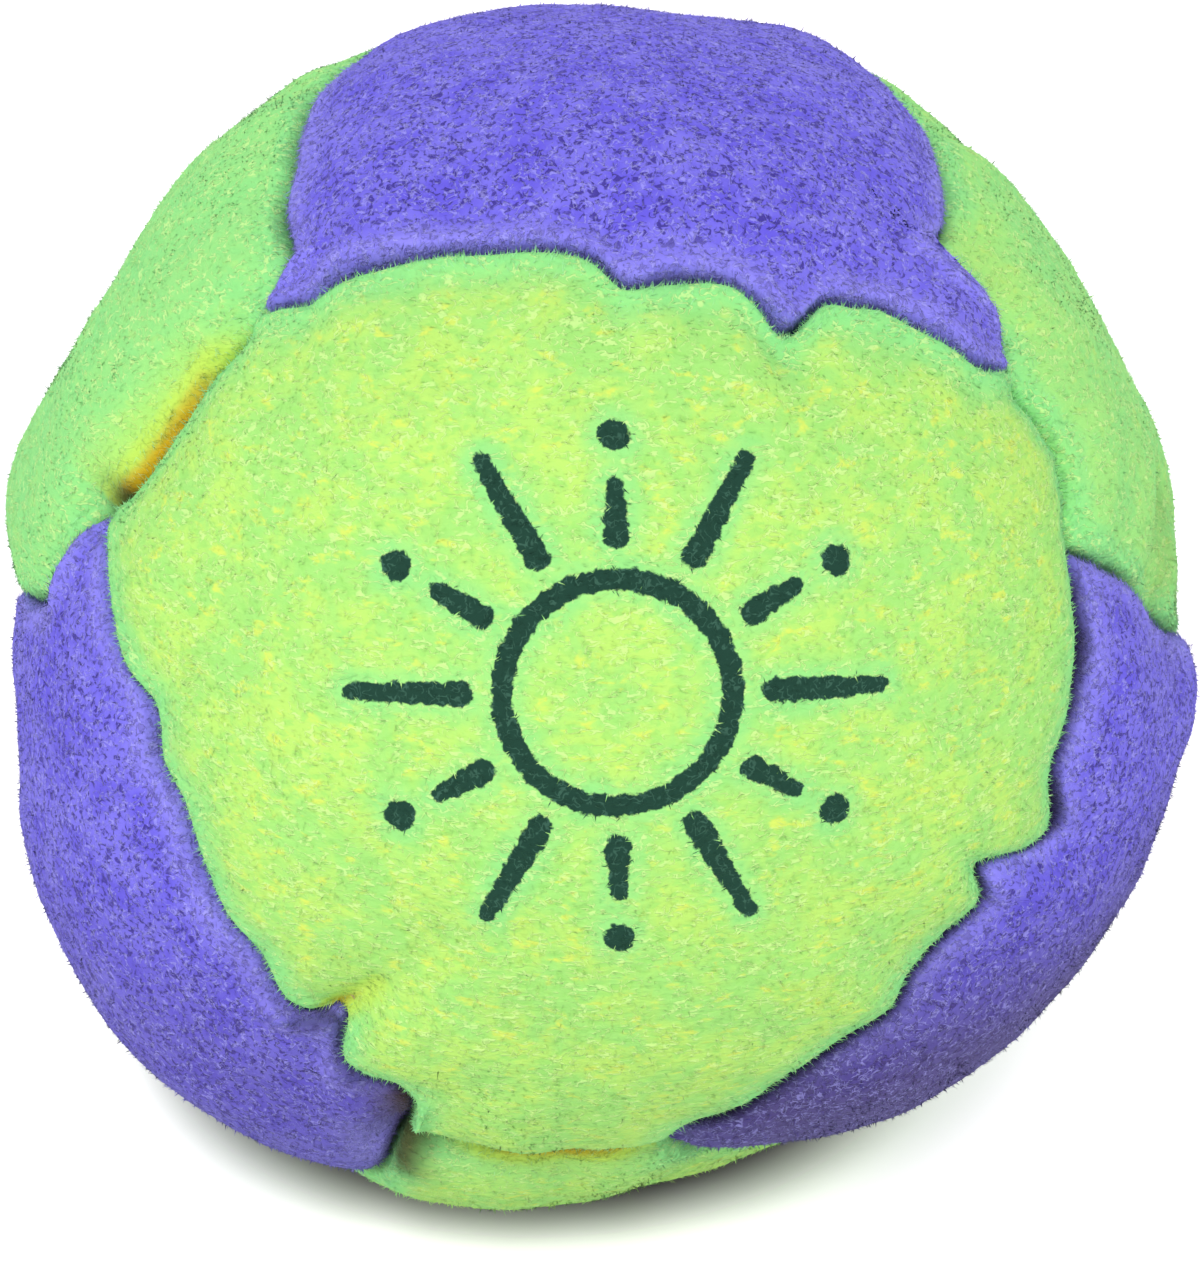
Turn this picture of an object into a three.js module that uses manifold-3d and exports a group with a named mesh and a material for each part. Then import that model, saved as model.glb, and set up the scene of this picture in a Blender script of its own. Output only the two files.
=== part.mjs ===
// A hand-sewn footbag: eight panels of synthetic suede, stitched edge to edge into a ball and part filled
// with sand. Four panels are large and six-sided and four are small triangles, laid out as on a truncated
// tetrahedron. Millimetres, +Z up, the front towards -Y, the origin on the flat spot that the bag rests on.
import * as THREE from "three";
import { mergeVertices } from "three/addons/utils/BufferGeometryUtils.js";
import Module from "manifold-3d";

const wasm = await Module();
wasm.setup();

// Driving dimensions
const BALL_RADIUS = 27; // over the crowns of the panels
const REST_SINK = 1.8; // by which the ball flattens where it rests
const REST_BLEND = 0.7; // height over which the flat spot rounds into the ball
const FABRIC = 0.9; // thickness of the suede
const SEAM_DEPTH = 2.2; // of a seam's valley below the crowns
const FOLD_REACH = 1.9; // from the seam, where the edge has rolled over into the panel's face
const FOLD_RISE = 1.2; // of that rolled edge
const PILLOW_REACH = 10; // from the seam, where the panel's broad crown is full
const CORNER_EASE = 1.5; // rounds the crown where two seams of a panel meet
const SEAM_GAP = 0.3; // between the two turned-in edges of a seam
const ALLOWANCE = 3; // depth of a turned-in edge
const STITCH_PITCH = 4;
const STITCH_DEPTH = 1.2; // of the stitches below the seam's valley
const CLOSING_DEPTH = 0.9; // of the stitches in the seam closed last
const THREAD_RADIUS = 0.2;
const KNOT_RADIUS = 0.34;
const KNOT_LENGTH = 0.6;
const THREAD_CLEARANCE = 0.3; // between thread and cloth
const HOLE_CLEARANCE = 0.25; // round the thread in a needle hole
const SAND_CLEARANCE = 0.3; // between sand and whatever it touches
const HEADROOM = 21.5; // of empty cloth above the settled sand
const CUT_OVERRUN = 0.2; // that a cutting tool runs past what it cuts

// Worked out from them
const REST_HEIGHT = BALL_RADIUS - REST_SINK; // of the ball's centre above the surface it rests on
const SAND_LEVEL = REST_HEIGHT + BALL_RADIUS - HEADROOM;
const SEAM_RADIUS = BALL_RADIUS - SEAM_DEPTH;
const PILLOW_RISE = SEAM_DEPTH - FOLD_RISE;
const EDGE = SEAM_GAP / 2; // from the seam to a panel's turned-in edge
const EDGE_INSIDE = EDGE + FABRIC;
const THREAD_OUT = EDGE_INSIDE + THREAD_CLEARANCE + KNOT_RADIUS; // from the seam to a run of thread
const GROOVE = THREAD_OUT + KNOT_RADIUS + SAND_CLEARANCE; // from the seam to the sand beside it

// Counts, and shares of a panel's reach from edge to middle
const THREAD_SIDES = 5;
const LEAST_STITCHES = 4;
const ROLL_SHARES = [0.12, 0.45]; // of FOLD_REACH
const FACE_SHARES = [0.16, 0.4, 0.68];
const LINING_SHARES = [0.38, 0.68];
const TAIL_SHARE = 0.55; // of a stitch, from the last needle hole to the knot

// The bag has slumped out of round. Azimuth runs from the front towards +X, elevation up from the horizon, in
// degrees. Each lobe swells or sinks the ball about one direction, by a share of its radius.
const LOBES = [
  { azimuth: -53, elevation: -28, spread_angle: 18, rise_share: 0.08 },
  { azimuth: -66, elevation: -16, spread_angle: 14, rise_share: 0.02 },
  { azimuth: -28, elevation: -44, spread_angle: 12, rise_share: 0.055 },
  { azimuth: -78, elevation: -8, spread_angle: 8, rise_share: -0.03 },
  { azimuth: -86, elevation: 16, spread_angle: 8, rise_share: 0.02 },
  { azimuth: -97, elevation: 33, spread_angle: 12, rise_share: -0.035 },
  { azimuth: -115, elevation: 62, spread_angle: 28, rise_share: 0.025 },
  { azimuth: 117, elevation: 55, spread_angle: 12, rise_share: 0.035 },
  { azimuth: 97, elevation: 34, spread_angle: 26, rise_share: -0.035 },
  { azimuth: 82, elevation: 8, spread_angle: 8, rise_share: -0.02 },
  { azimuth: 72, elevation: -10, spread_angle: 16, rise_share: 0.01 },
  { azimuth: 21, elevation: -46, spread_angle: 12, rise_share: -0.05 },
];

// Where three panels meet. The first letter is the triangle whose corner it is (top, left, right, back), the
// second the triangle it points to.
const CORNERS = {
  tl: { azimuth: -52, elevation: 48.7 },
  tr: { azimuth: 58, elevation: 40.6 },
  tb: { azimuth: 174, elevation: 46 },
  lt: { azimuth: -62, elevation: 25.5 },
  lr: { azimuth: -21, elevation: -31.5 },
  lb: { azimuth: -107, elevation: -30 },
  rl: { azimuth: 6.5, elevation: -32.5 },
  rt: { azimuth: 55, elevation: 24.2 },
  rb: { azimuth: 106, elevation: -38 },
  bt: { azimuth: 176, elevation: 23 },
  bl: { azimuth: -135, elevation: -31 },
  br: { azimuth: 135, elevation: -37 },
};

const PURPLE = "purple";
const GREEN = "green";
// Each panel's corners run anticlockwise as seen from outside.
const PANELS = {
  panel_top: { suede: PURPLE, corners: ["tl", "tr", "tb"] },
  panel_left: { suede: PURPLE, corners: ["lt", "lb", "lr"] },
  panel_right: { suede: PURPLE, corners: ["rt", "rl", "rb"] },
  panel_rear: { suede: PURPLE, corners: ["bt", "br", "bl"] },
  panel_front: { suede: GREEN, corners: ["tl", "lt", "lr", "rl", "rt", "tr"] },
  panel_left_rear: { suede: GREEN, corners: ["tb", "bt", "bl", "lb", "lt", "tl"] },
  panel_right_rear: { suede: GREEN, corners: ["tr", "rt", "rb", "br", "bt", "tb"] },
  panel_base: { suede: GREEN, corners: ["lr", "lb", "bl", "br", "rb", "rl"] },
};

// Each seam is an arc between two corners, bowed sideways. A bow lists the share of the way along and the
// share of the ball's radius by which it leans there, towards whichever of its two panels comes first above.
const BELLY_SHARES = [[0.5, -0.075]];
const SEAMS = {
  top_front: {
    ends: ["tl", "tr"],
    bow_shares: [[0.22, 0.042], [0.47, -0.024], [0.67, -0.045], [0.79, 0.012]],
  },
  left_front: {
    ends: ["lt", "lr"],
    bow_shares: [[0.3, -0.095], [0.55, -0.08], [0.76, -0.09], [0.9, -0.07]],
  },
  right_front: {
    ends: ["rt", "rl"],
    bow_shares: [[0.18, 0.068], [0.33, 0.125], [0.46, 0.05], [0.66, 0.04]],
  },
  top_left_rear: { ends: ["tl", "tb"], bow_shares: [[0.12, 0], [0.32, -0.105], [0.5, -0.15]] },
  top_right_rear: { ends: ["tr", "tb"], bow_shares: [[0.15, 0.07], [0.34, -0.02], [0.5, -0.12]] },
  left_left_rear: { ends: ["lt", "lb"], bow_shares: [[0.15, 0.05], [0.35, -0.03], [0.55, -0.07]] },
  left_base: { ends: ["lr", "lb"], bow_shares: [[0.16, -0.13], [0.35, -0.12]] },
  right_right_rear: { ends: ["rt", "rb"], bow_shares: [[0.12, -0.04], [0.3, -0.01], [0.5, -0.05]] },
  right_base: { ends: ["rl", "rb"], bow_shares: [[0.2, -0.1]] },
  rear_left_rear: { ends: ["bt", "bl"], bow_shares: BELLY_SHARES },
  rear_right_rear: { ends: ["bt", "br"], bow_shares: BELLY_SHARES },
  rear_base: { ends: ["bl", "br"], bow_shares: BELLY_SHARES },
  front_left_rear: { ends: ["tl", "lt"], bow_shares: [[0.3, 0.012], [0.66, 0.027], [0.86, 0.033]] },
  front_right_rear: { ends: ["tr", "rt"], bow_shares: [[0.5, -0.045]] },
  front_base: { ends: ["lr", "rl"], bow_shares: [[0.5, -0.033]] },
  rear_halves: { ends: ["tb", "bt"], bow_shares: [] },
  base_left_rear: { ends: ["lb", "bl"], bow_shares: [] },
  base_right_rear: { ends: ["rb", "br"], bow_shares: [] },
};
const CLOSING_SEAM = "rear_right_rear";

const rad = THREE.MathUtils.degToRad;

function direction(azimuth, elevation) {
  const a = rad(azimuth);
  const e = rad(elevation);
  return new THREE.Vector3(Math.sin(a) * Math.cos(e), -Math.cos(a) * Math.cos(e), Math.sin(e));
}

// A cubic through [share, value] points that starts and ends at nothing.
function throughPoints(points, t) {
  const all = [[0, 0], ...points, [1, 0]];
  const k = Math.max(0, all.findIndex(([share]) => share >= t) - 1);
  const [x0, y0] = all[k];
  const [x1, y1] = all[k + 1];
  const slope = (i) => {
    if (i <= 0 || i >= all.length - 1) return 0;
    return (all[i + 1][1] - all[i - 1][1]) / (all[i + 1][0] - all[i - 1][0]);
  };
  const w = x1 - x0;
  const u = (t - x0) / w;
  const rest = 1 - u;
  return (
    (1 + 2 * u) * rest * rest * y0 + u * rest * rest * w * slope(k) +
    u * u * (3 - 2 * u) * y1 - u * u * rest * w * slope(k + 1)
  );
}

const corners = Object.fromEntries(
  Object.entries(CORNERS).map(([name, { azimuth, elevation }]) => [name, direction(azimuth, elevation)]),
);

function middleOf(panel) {
  const sum = new THREE.Vector3();
  panel.corners.forEach((c) => sum.add(corners[c]));
  return sum.normalize();
}

const seams = Object.entries(SEAMS).map(([name, { ends, bow_shares }]) => {
  const [from, to] = ends.map((end) => corners[end]);
  const side = from.clone().cross(to).normalize();
  const along = side.clone().cross(from);
  const angle = from.angleTo(to);
  const hasBothEnds = (panel) => ends.every((end) => PANELS[panel].corners.includes(end));
  const sides = Object.keys(PANELS).filter(hasBothEnds);
  const sign = Math.sign(side.dot(middleOf(PANELS[sides[0]])));
  const count = Math.max(LEAST_STITCHES, Math.round((angle * SEAM_RADIUS) / STITCH_PITCH));
  const bowAt = (t) => sign * throughPoints(bow_shares, THREE.MathUtils.clamp(t, 0, 1));
  return { name, ends, panels: sides, side, along, from, angle, count, bowAt };
});

// A panel's edges in order, each with its seam and which way along the seam it runs.
function edgesOf(panel) {
  return panel.corners.map((corner, i) => {
    const next = panel.corners[(i + 1) % panel.corners.length];
    const seam = seams.find(({ ends }) => ends.includes(corner) && ends.includes(next));
    return { seam, forward: seam.ends[0] === corner, corner, next };
  });
}

const panels = Object.entries(PANELS).map(([name, panel]) => {
  const middle = middleOf(panel);
  const edges = edgesOf(panel);
  edges.forEach((edge) => {
    edge.inward = edge.seam.side.clone().multiplyScalar(Math.sign(edge.seam.side.dot(middle)));
    edge.flip = edge.inward.dot(edge.seam.side);
  });
  return { name, suede: panel.suede, middle, edges };
});

// The direction of a panel's corner when its edges are drawn in from their seams.
function cornerInset(panel, i, inset) {
  const before = panel.edges[(i + panel.edges.length - 1) % panel.edges.length].inward;
  const after = panel.edges[i].inward;
  const s = Math.sin(inset / SEAM_RADIUS);
  const lift = s / (1 + before.dot(after));
  const sum = before.clone().add(after);
  const rest = Math.sqrt(1 - lift * lift * sum.lengthSq());
  return corners[panel.edges[i].corner].clone().multiplyScalar(rest).addScaledVector(sum, lift);
}

// A panel's outline, drawn in from its seams: directions, one for each stitch length round it.
function outline(panel, inset) {
  const ring = [];
  panel.edges.forEach((edge, i) => {
    const a = cornerInset(panel, i, inset);
    const b = cornerInset(panel, (i + 1) % panel.edges.length, inset);
    const angle = a.angleTo(b);
    for (let k = 0; k < edge.seam.count; k++) {
      const t = k / edge.seam.count;
      const d = a.clone().multiplyScalar(Math.sin((1 - t) * angle));
      d.addScaledVector(b, Math.sin(t * angle)).divideScalar(Math.sin(angle));
      d.addScaledVector(edge.seam.side, edge.seam.bowAt(edge.forward ? t : 1 - t));
      ring.push(d.normalize());
    }
  });
  return ring;
}

// How far a direction lies inside a panel's seams, rounded where two of them meet.
function insetOf(panel, d) {
  let sum = 0;
  panel.edges.forEach(({ seam, flip }) => {
    const t = Math.atan2(d.dot(seam.along), d.dot(seam.from)) / seam.angle;
    const away = BALL_RADIUS * flip * (Math.asin(d.dot(seam.side)) - Math.atan(seam.bowAt(t)));
    sum += Math.exp(-away / CORNER_EASE);
  });
  return Math.max(0, -CORNER_EASE * Math.log(sum));
}

function quarterRound(share) {
  const rest = 1 - Math.min(1, share);
  return Math.sqrt(1 - rest * rest);
}

function seamRadius(d) {
  let share = 1;
  LOBES.forEach(({ azimuth, elevation, spread_angle, rise_share }) => {
    const off = d.angleTo(direction(azimuth, elevation)) / rad(spread_angle);
    share += rise_share * Math.exp(-off * off);
  });
  return SEAM_RADIUS * share;
}

function faceRadius(panel, d, inset) {
  const fold = FOLD_RISE * quarterRound((inset - EDGE) / FOLD_REACH);
  const pillow = PILLOW_RISE * quarterRound(insetOf(panel, d) / PILLOW_REACH);
  return seamRadius(d) + fold + pillow;
}

// A point of the bag, kept above the surface that it rests on by a layer's distance from it.
function place(d, radius, layer = 0) {
  const p = d.clone().multiplyScalar(radius);
  const z = p.z + REST_HEIGHT - layer;
  const eased = (z + REST_BLEND) ** 2 / (4 * REST_BLEND);
  p.z = layer + (z <= -REST_BLEND ? 0 : z >= REST_BLEND ? z : eased);
  return p;
}

function towardsMiddle(panel, ring, share) {
  return ring.map((d) => d.clone().lerp(panel.middle, share).normalize());
}

// Closed meshes built from rings of equal length, from one middle point to another.
class RingMesh {
  positions = [];
  add(p) {
    this.positions.push(p.x, p.y, p.z);
  }
  triangle(a, b, c) {
    [a, b, c].forEach((p) => this.add(p));
  }
  fan(middle, ring) {
    ring.forEach((p, i) => this.triangle(middle, p, ring[(i + 1) % ring.length]));
  }
  band(inner, outer) {
    inner.forEach((p, i) => {
      const j = (i + 1) % inner.length;
      this.triangle(p, outer[i], outer[j]);
      this.triangle(p, outer[j], inner[j]);
    });
  }
  geometry() {
    const g = new THREE.BufferGeometry();
    g.setAttribute("position", new THREE.Float32BufferAttribute(this.positions, 3));
    return mergeVertices(g);
  }
}

function solidOf(geometry) {
  const g = geometry.clone();
  g.deleteAttribute("normal");
  g.deleteAttribute("uv");
  const merged = mergeVertices(g);
  const vertProperties = merged.attributes.position.array;
  const triVerts = new Uint32Array(merged.index.array);
  return new wasm.Manifold(new wasm.Mesh({ numProp: 3, vertProperties, triVerts }));
}

function geometryOf(solid) {
  const { numProp, numVert, vertProperties, triVerts } = solid.getMesh();
  const positions = [];
  for (let i = 0; i < numVert; i++) {
    positions.push(...vertProperties.slice(i * numProp, i * numProp + 3));
  }
  const g = new THREE.BufferGeometry();
  g.setAttribute("position", new THREE.Float32BufferAttribute(positions, 3));
  g.setIndex([...triVerts]);
  return g;
}

// One needle hole through both turned-in edges of a seam, as a square cutter.
function needleHole({ a, b, tangent }) {
  const across = a.clone().sub(b).normalize();
  const up = across.clone().cross(tangent).normalize();
  const forward = across.clone().cross(up);
  const width = 2 * (THREAD_RADIUS + HOLE_CLEARANCE);
  const through = (a.distanceTo(b) * (EDGE_INSIDE + CUT_OVERRUN)) / THREAD_OUT;
  const box = new THREE.BoxGeometry(width, through, width);
  const pose = new THREE.Matrix4().makeBasis(forward, across, up);
  pose.setPosition(a.clone().lerp(b, 0.5));
  return box.applyMatrix4(pose);
}

// The two lines that a seam's thread runs along, one on each side of its turned-in edges.
function threadLines(seam) {
  const depth = seam.name === CLOSING_SEAM ? CLOSING_DEPTH : STITCH_DEPTH;
  return seam.panels.map((name) => {
    const panel = panels.find((p) => p.name === name);
    const ring = outline(panel, THREAD_OUT);
    let start = 0;
    for (const edge of panel.edges) {
      if (edge.seam === seam) {
        const line = [];
        for (let k = 0; k <= seam.count; k++) line.push(ring[(start + k) % ring.length]);
        if (!edge.forward) line.reverse();
        return line.map((d) => place(d, seamRadius(d) - depth));
      }
      start += edge.seam.count;
    }
  });
}

// Where the thread goes through the cloth: the middle of each stitch but the first and last.
function crossings(seam) {
  const [lineA, lineB] = threadLines(seam);
  const found = [];
  for (let k = 1; k < seam.count - 1; k++) {
    const a = lineA[k].clone().lerp(lineA[k + 1], 0.5);
    const b = lineB[k].clone().lerp(lineB[k + 1], 0.5);
    const tangent = lineA[k + 1].clone().sub(lineA[k]).normalize();
    found.push({ a, b, tangent });
  }
  return { lineA, lineB, found };
}

function panelGeometry(panel) {
  const mesh = new RingMesh();
  const roll = [EDGE, ...ROLL_SHARES.map((share) => EDGE + share * FOLD_REACH), EDGE + FOLD_REACH];
  const edgeRings = roll.map((inset) => ({ inset, ring: outline(panel, inset) }));
  const lastRing = edgeRings.at(-1).ring;
  const faceRings = FACE_SHARES.map((share) => ({
    inset: EDGE + FOLD_REACH,
    ring: towardsMiddle(panel, lastRing, share),
  }));
  const outer = [...edgeRings, ...faceRings].map(({ inset, ring }) =>
    ring.map((d) => place(d, faceRadius(panel, d, inset))),
  );
  const grooveRing = outline(panel, GROOVE);
  const lining = (ring, inset) =>
    ring.map((d) => place(d, faceRadius(panel, d, inset) - FABRIC, FABRIC));
  const inner = [lining(outline(panel, EDGE_INSIDE), EDGE_INSIDE), lining(grooveRing, GROOVE)];
  LINING_SHARES.forEach((share) => inner.push(lining(towardsMiddle(panel, grooveRing, share), GROOVE)));
  const turnedIn = [EDGE_INSIDE, EDGE].map((inset) =>
    outline(panel, inset).map((d) => place(d, seamRadius(d) - ALLOWANCE)),
  );
  const crown = place(panel.middle, faceRadius(panel, panel.middle, BALL_RADIUS));
  const [hollow] = lining([panel.middle], BALL_RADIUS);
  const rings = [...outer.reverse(), turnedIn[1], turnedIn[0], ...inner];
  mesh.fan(crown, rings[0]);
  for (let i = 1; i < rings.length; i++) mesh.band(rings[i - 1], rings[i]);
  mesh.fan(hollow, rings.at(-1).toReversed());
  let solid = solidOf(mesh.geometry());
  panel.edges.forEach(({ seam }) => {
    crossings(seam).found.forEach((hole) => {
      solid = solid.subtract(solidOf(needleHole(hole)));
    });
  });
  return geometryOf(solid);
}

// A tube with mitred corners through points, each with its own radius.
function tube(points) {
  const mesh = new RingMesh();
  let across = null;
  const rings = points.map(({ p, radius }, i) => {
    const before = points[Math.max(0, i - 1)].p;
    const after = points[Math.min(points.length - 1, i + 1)].p;
    const into = p.clone().sub(before).normalize();
    const out = after.clone().sub(p).normalize();
    if (i === 0) into.copy(out);
    if (i === points.length - 1) out.copy(into);
    const normal = into.clone().add(out).normalize();
    across ??= new THREE.Vector3().crossVectors(out, p).normalize();
    const up = across.clone().cross(into).normalize();
    const flat = into.clone().cross(up).normalize();
    const ring = [];
    for (let k = 0; k < THREAD_SIDES; k++) {
      const angle = (2 * Math.PI * k) / THREAD_SIDES;
      const arm = flat.clone().multiplyScalar(radius * Math.cos(angle));
      arm.addScaledVector(up, radius * Math.sin(angle));
      const slide = -arm.dot(normal) / into.dot(normal);
      ring.push(p.clone().add(arm).addScaledVector(into, slide));
    }
    across = flat.clone();
    return ring;
  });
  mesh.fan(points[0].p, rings[0]);
  for (let i = 1; i < rings.length; i++) mesh.band(rings[i - 1], rings[i]);
  mesh.fan(points.at(-1).p, rings.at(-1).toReversed());
  const g = mesh.geometry();
  return solidOf(g).volume() < 0 ? turnedInsideOut(g) : g;
}

function turnedInsideOut(geometry) {
  const index = [...geometry.index.array];
  for (let i = 0; i < index.length; i += 3) [index[i + 1], index[i + 2]] = [index[i + 2], index[i + 1]];
  geometry.setIndex(index);
  return geometry;
}

function knot(from, towards) {
  const step = towards.clone().sub(from).normalize().multiplyScalar(KNOT_LENGTH / 3);
  return [
    { p: from.clone(), radius: THREAD_RADIUS },
    { p: from.clone().add(step), radius: KNOT_RADIUS },
    { p: from.clone().addScaledVector(step, 2), radius: KNOT_RADIUS },
    { p: from.clone().addScaledVector(step, 3), radius: THREAD_RADIUS },
  ];
}

// A running stitch: through both edges, along one side, back through, along the other, a knot at each end.
function threadGeometry(seam) {
  const { lineA, lineB, found } = crossings(seam);
  const path = knot(lineA[1].clone().lerp(lineA[0], TAIL_SHARE), lineA[1]);
  path.push({ p: lineA[1], radius: THREAD_RADIUS });
  found.forEach(({ a, b }, i) => {
    const [near, far, run] = i % 2 ? [b, a, lineA] : [a, b, lineB];
    [near, far, run[i + 2]].forEach((p) => path.push({ p, radius: THREAD_RADIUS }));
  });
  const last = found.length % 2 ? lineB : lineA;
  const end = last[seam.count - 1];
  path.push(...knot(end.clone().lerp(last[seam.count], TAIL_SHARE), end).reverse());
  return tube(path);
}

// The sand fills the cloth up to its level, with a groove along every seam for its turned-in edges. It is
// built facet for facet against the cloth's inside, so its faces point in until it is turned inside out.
function sandGeometry() {
  const mesh = new RingMesh();
  const layer = FABRIC + SAND_CLEARANCE;
  const depth = ALLOWANCE + SAND_CLEARANCE;
  panels.forEach((panel) => {
    const bottom = (ring) => ring.map((d) => place(d, seamRadius(d) - depth));
    const against = (ring) => ring.map((d) => place(d, faceRadius(panel, d, GROOVE) - layer, layer));
    const grooveRing = outline(panel, GROOVE);
    const rings = [bottom(outline(panel, 0)), bottom(grooveRing), against(grooveRing)];
    LINING_SHARES.forEach((share) => rings.push(against(towardsMiddle(panel, grooveRing, share))));
    for (let i = 1; i < rings.length; i++) mesh.band(rings[i - 1], rings[i]);
    mesh.fan(against([panel.middle])[0], rings.at(-1).toReversed());
  });
  const span = 4 * BALL_RADIUS;
  const air = new THREE.BoxGeometry(span, span, span).translate(0, 0, SAND_LEVEL + span / 2);
  return geometryOf(solidOf(turnedInsideOut(mesh.geometry())).subtract(solidOf(air)));
}

function material(colour, roughness) {
  return new THREE.MeshStandardMaterial({ color: colour, roughness, metalness: 0 });
}

const SUEDE = { [GREEN]: material(0xb4ec80, 0.95), [PURPLE]: material(0x7a70d8, 0.95) };
const THREAD = material(0x1c2422, 0.8);
const SAND = material(0xc8b088, 1);

function named(name, geometry, finish) {
  const mesh = new THREE.Mesh(geometry, finish);
  mesh.name = name;
  return mesh;
}

const footbag = new THREE.Group();
panels.forEach((panel) => footbag.add(named(panel.name, panelGeometry(panel), SUEDE[panel.suede])));
seams.forEach((seam) => {
  const name = seam.name === CLOSING_SEAM ? "closing_thread" : "thread_" + seam.name;
  footbag.add(named(name, threadGeometry(seam), THREAD));
});
footbag.add(named("sand_fill", sandGeometry(), SAND));

export default footbag;
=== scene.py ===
"""A hand-sewn footbag of green and purple synthetic suede, resting on a pale floor.

The eight panels are made here as fine closed shells of cloth, each in the place of its plain solid, with a
nap of short fibres. Lengths are in millimetres until a mesh is made, which is in metres.
"""

import bpy
import numpy as np
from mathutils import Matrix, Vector


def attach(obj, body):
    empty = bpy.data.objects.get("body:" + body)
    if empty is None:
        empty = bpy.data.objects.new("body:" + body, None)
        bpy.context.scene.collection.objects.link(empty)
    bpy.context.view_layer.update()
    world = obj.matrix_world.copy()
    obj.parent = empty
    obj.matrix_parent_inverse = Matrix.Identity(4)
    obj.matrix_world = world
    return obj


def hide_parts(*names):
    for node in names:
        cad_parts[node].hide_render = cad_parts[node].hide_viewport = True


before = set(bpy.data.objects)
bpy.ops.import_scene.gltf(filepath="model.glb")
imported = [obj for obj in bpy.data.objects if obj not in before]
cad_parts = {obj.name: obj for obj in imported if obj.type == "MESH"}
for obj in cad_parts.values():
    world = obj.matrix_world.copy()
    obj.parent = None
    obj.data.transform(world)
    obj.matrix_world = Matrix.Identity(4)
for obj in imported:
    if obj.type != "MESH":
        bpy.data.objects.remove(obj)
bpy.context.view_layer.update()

MM = 0.001

# Sizes of the ball
BALL_RADIUS = 27.0
REST_SINK = 1.8
REST_HEIGHT = BALL_RADIUS - REST_SINK
REST_BLEND = 0.7
FABRIC = 0.9
LEAST_FABRIC = 0.2
SEAM_DEPTH = 2.2
FOLD_REACH = 1.9
FOLD_RISE = 1.2
PILLOW_REACH = 10.0
CORNER_EASE = 1.5
MOST_OUTSIDE = 5.0
SEAM_GAP = 0.3
ALLOWANCE = 3.0
STITCH_PITCH = 4.0
LEAST_STITCHES = 4
SEAM_RADIUS = BALL_RADIUS - SEAM_DEPTH
PILLOW_RISE = SEAM_DEPTH - FOLD_RISE
EDGE = SEAM_GAP / 2
EDGE_INSIDE = EDGE + FABRIC

# Fineness of the meshes, and where rings of points lie over the rolled edge, its wall and the lining
STEP = 0.24
MOST_EASING = 10
ROLL_SHARES = (0, 0.03, 0.08, 0.15, 0.24, 0.35, 0.48, 0.62, 0.78, 1)
WALL_SHARES = (0.06, 0.2, 0.5, 1)
LINING_SHARES = (0.08, 0.2, 0.4, 0.6, 0.8)

# How the cloth puckers
SCALLOP_DEPTH = 0.12
SCALLOP_REACH = 1.5
SCALLOP_SWAY_SHARE = 0.0015
PUCKER_DEPTH = 0.18
PUCKER_REACH = 2.4
SLACK_LENGTH = 5.5
FADE_LENGTH = 3.0
SEAM_FILL = 0.6
SEAM_FILLS = {"top_front": 1.05, "right_front": 0.45, "left_base": 0.4, "front_left_rear": 0.5}
SEAM_FILL_REACH = 0.85
CORNER_DIP = 0.4
CORNER_DIPS = {"lr": 1.1, "lt": 0.9}
DIP_REACH = 1.3

# The cloth's own unevenness: depth, length of its waves, seed and count of waves
UNEVENNESS = (
    (0.1, 9, 3, 28),
    (0.04, 3.5, 4, 28),
    (0.02, 0.75, 5, 40),
)

# The bag has slumped out of round: azimuth, elevation, spread in degrees, and rise as a share of the radius
LOBES = (
    (-53, -28, 18, 0.08),
    (-66, -16, 14, 0.02),
    (-28, -44, 12, 0.055),
    (-78, -8, 8, -0.03),
    (-86, 16, 8, 0.02),
    (-97, 33, 12, -0.035),
    (-115, 62, 28, 0.025),
    (121, 58, 12, 0.042),
    (180, 71, 14, -0.009),
    (97, 34, 26, -0.035),
    (82, 8.5, 6, -0.035),
    (77.5, 0, 7, 0.021),
    (72, -10, 16, 0.01),
    (21, -46, 12, -0.05),
)

# Where three panels meet: azimuth from the front towards +X, and elevation
CORNERS = {
    "tl": (-52, 48.7),
    "tr": (58, 40.6),
    "tb": (174, 46),
    "lt": (-62, 25.5),
    "lr": (-21, -31.5),
    "lb": (-107, -30),
    "rl": (6.5, -32.5),
    "rt": (55, 24.2),
    "rb": (106, -38),
    "bt": (176, 23),
    "bl": (-135, -31),
    "br": (135, -37),
}

# Each panel's suede and its corners, anticlockwise from outside
PANELS = {
    "panel_top": ("purple", "tl tr tb"),
    "panel_left": ("purple", "lt lb lr"),
    "panel_right": ("purple", "rt rl rb"),
    "panel_rear": ("purple", "bt br bl"),
    "panel_front": ("green", "tl lt lr rl rt tr"),
    "panel_left_rear": ("green", "tb bt bl lb lt tl"),
    "panel_right_rear": ("green", "tr rt rb br bt tb"),
    "panel_base": ("green", "lr lb bl br rb rl"),
}

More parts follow.
